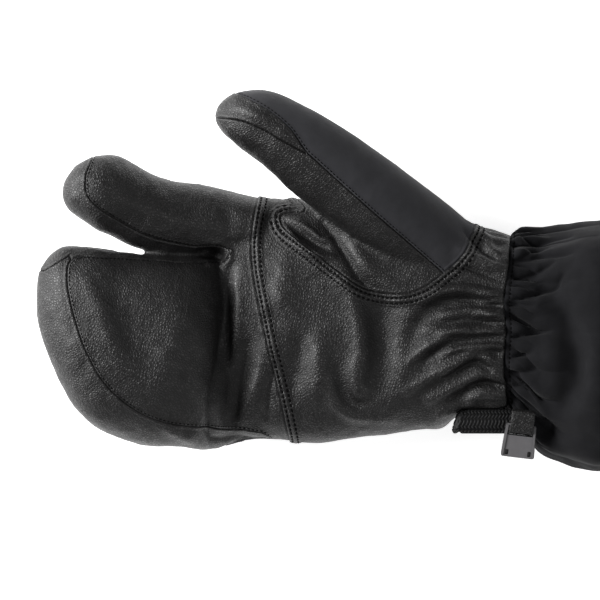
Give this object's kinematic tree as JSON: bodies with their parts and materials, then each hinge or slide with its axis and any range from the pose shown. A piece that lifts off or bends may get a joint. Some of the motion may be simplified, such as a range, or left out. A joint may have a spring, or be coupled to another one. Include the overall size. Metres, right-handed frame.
{
  "type": "lobster claw mitt",
  "caption": "Black leather ski mitt for the right hand with a separate index stall, a wide pouch for the other fingers, a thumb and a softshell gauntlet cuff.",
  "frame": {"origin": "middle of the palm on the flat patch where the back of the hand rests", "axes": "+X from the fingertips to the cuff, +Y to the thumb side, +Z out of the palm, up as it lies"},
  "size_m": [0.3057, 0.1737, 0.0648],
  "materials": {
    "leather": "fine-grained black goat leather, semi-gloss on the ridges",
    "softshell": "matte black woven softshell",
    "braid": "flat braided black elastic",
    "clip_plastic": "moulded, fine matte with polished rims"
  },
  "bodies": {
    "root": {"palm_panel": "leather", "finger_palm_panel": "leather", "finger_side_strip": "leather", "pouch_side_strip": "leather", "hand_back_panel": "softshell", "finger_back_panel": "leather", "thumb_palm_panel": "leather", "thumb_tip_cap": "leather", "thumb_back_panel": "softshell", "gauntlet_cuff": "softshell", "cuff_hem": "softshell", "wrist_leash": "braid", "clip_tab": "leather", "clip": "clip_plastic"}
  },
  "joints": []
}
